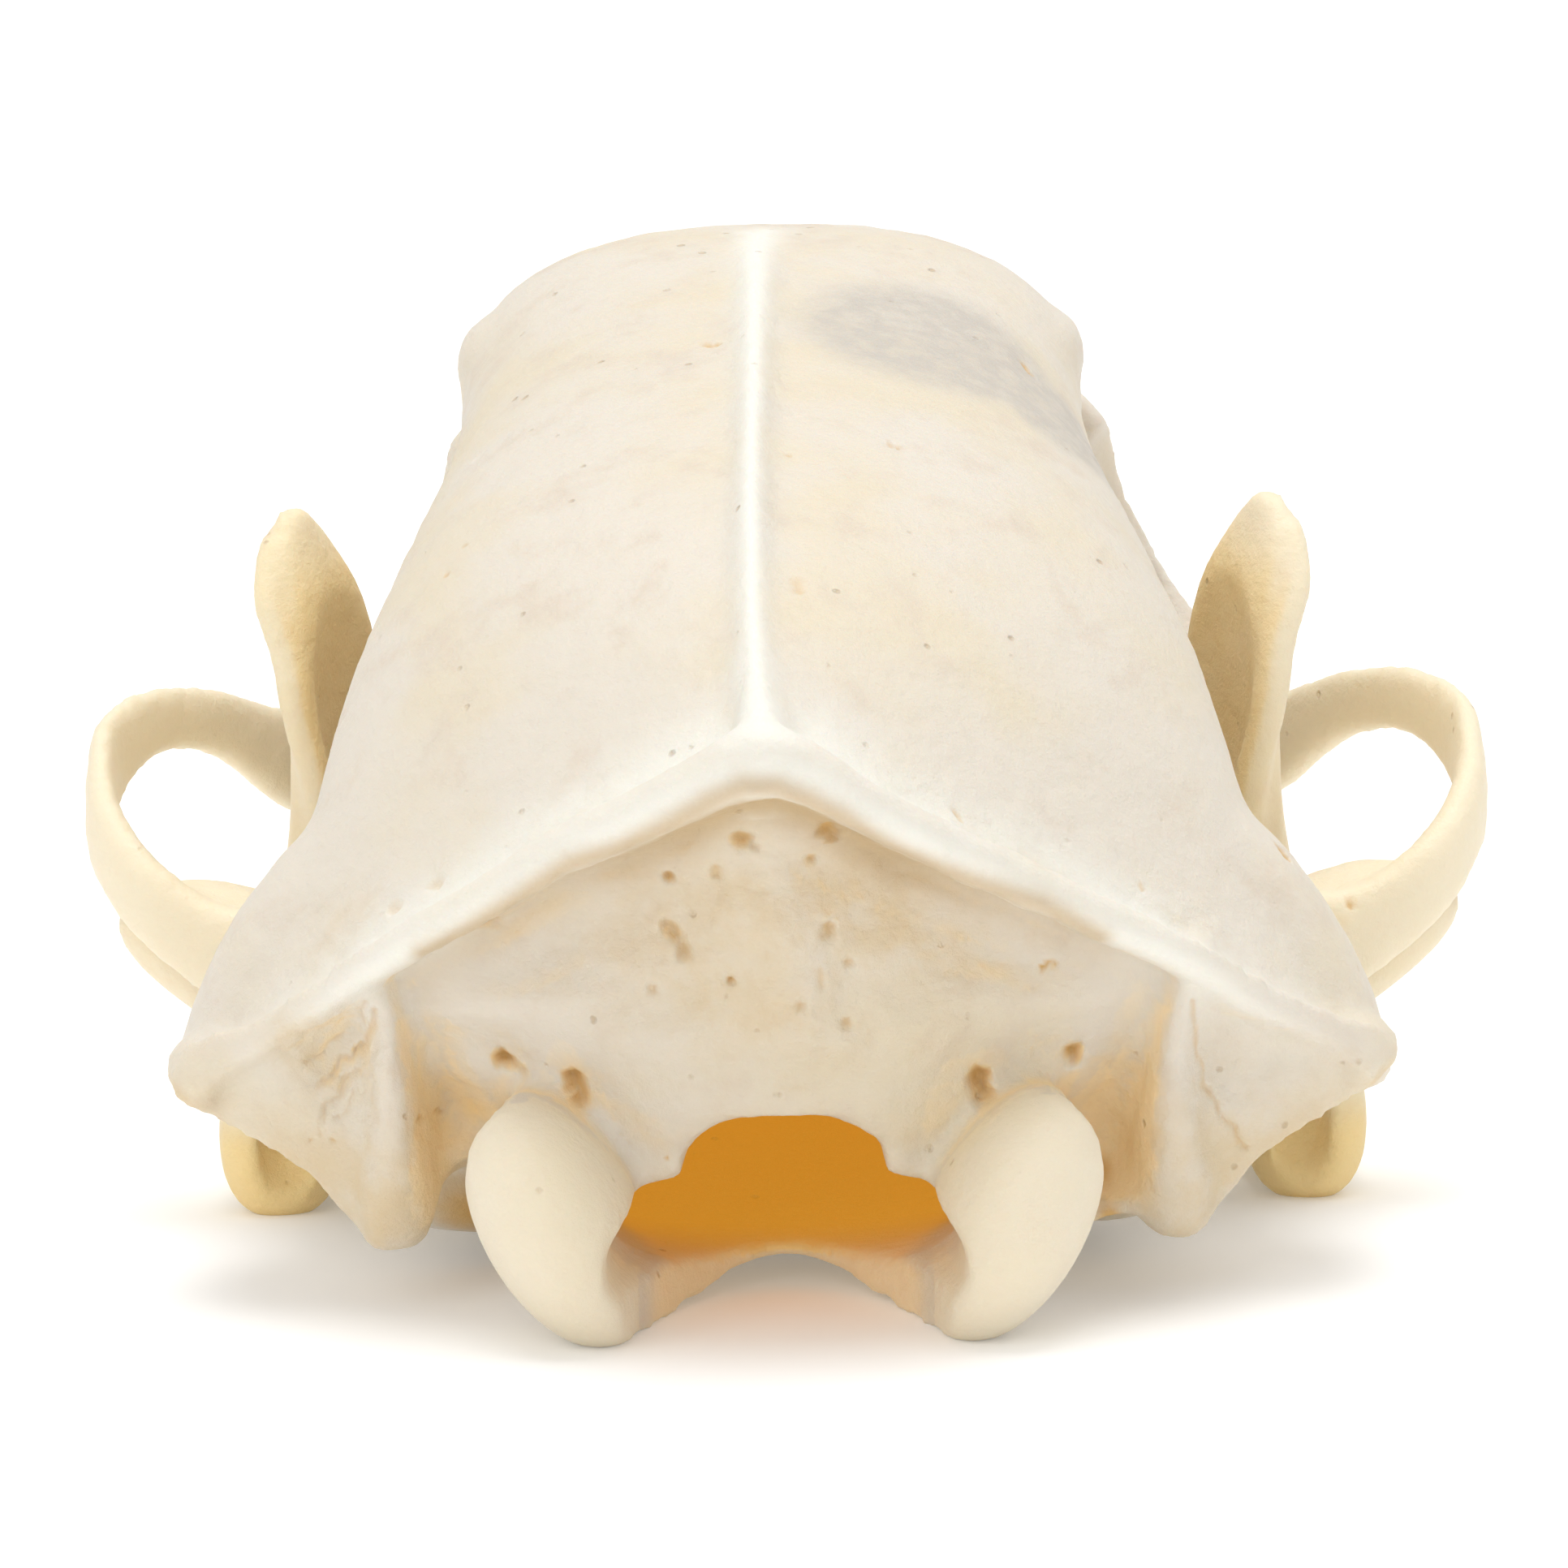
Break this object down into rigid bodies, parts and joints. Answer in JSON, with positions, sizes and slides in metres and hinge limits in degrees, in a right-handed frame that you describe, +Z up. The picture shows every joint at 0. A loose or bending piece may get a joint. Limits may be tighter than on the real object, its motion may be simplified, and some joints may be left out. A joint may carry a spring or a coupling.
{
  "type": "skunk skull with lower jaw",
  "caption": "Cleaned skull of a striped skunk with its lower jaw closed: ridged braincase, open cheek arches, short snout and sharp teeth. It lies at rest on a table.",
  "frame": {"origin": "middle of the bounding box on the table under the skull", "axes": "+Y from the back of the skull to the snout, +X to the animal's right, +Z up"},
  "size_m": [0.0473, 0.0714, 0.031],
  "materials": {
    "cranium_bone": "dry, cleaned cream bone with a faint satin sheen",
    "snout_bone": "dry, cleaned cream bone with ivory teeth",
    "cheek_bone": "smooth, slightly oily yellow-cream bone",
    "jaw_bone": "smooth, slightly oily yellow-cream bone with ivory teeth"
  },
  "bodies": {
    "root": {"braincase": "cranium_bone", "snout": "snout_bone", "cheekbone_left": "cheek_bone", "cheekbone_right": "cheek_bone", "mandible_left": "jaw_bone", "mandible_right": "jaw_bone"}
  },
  "joints": []
}
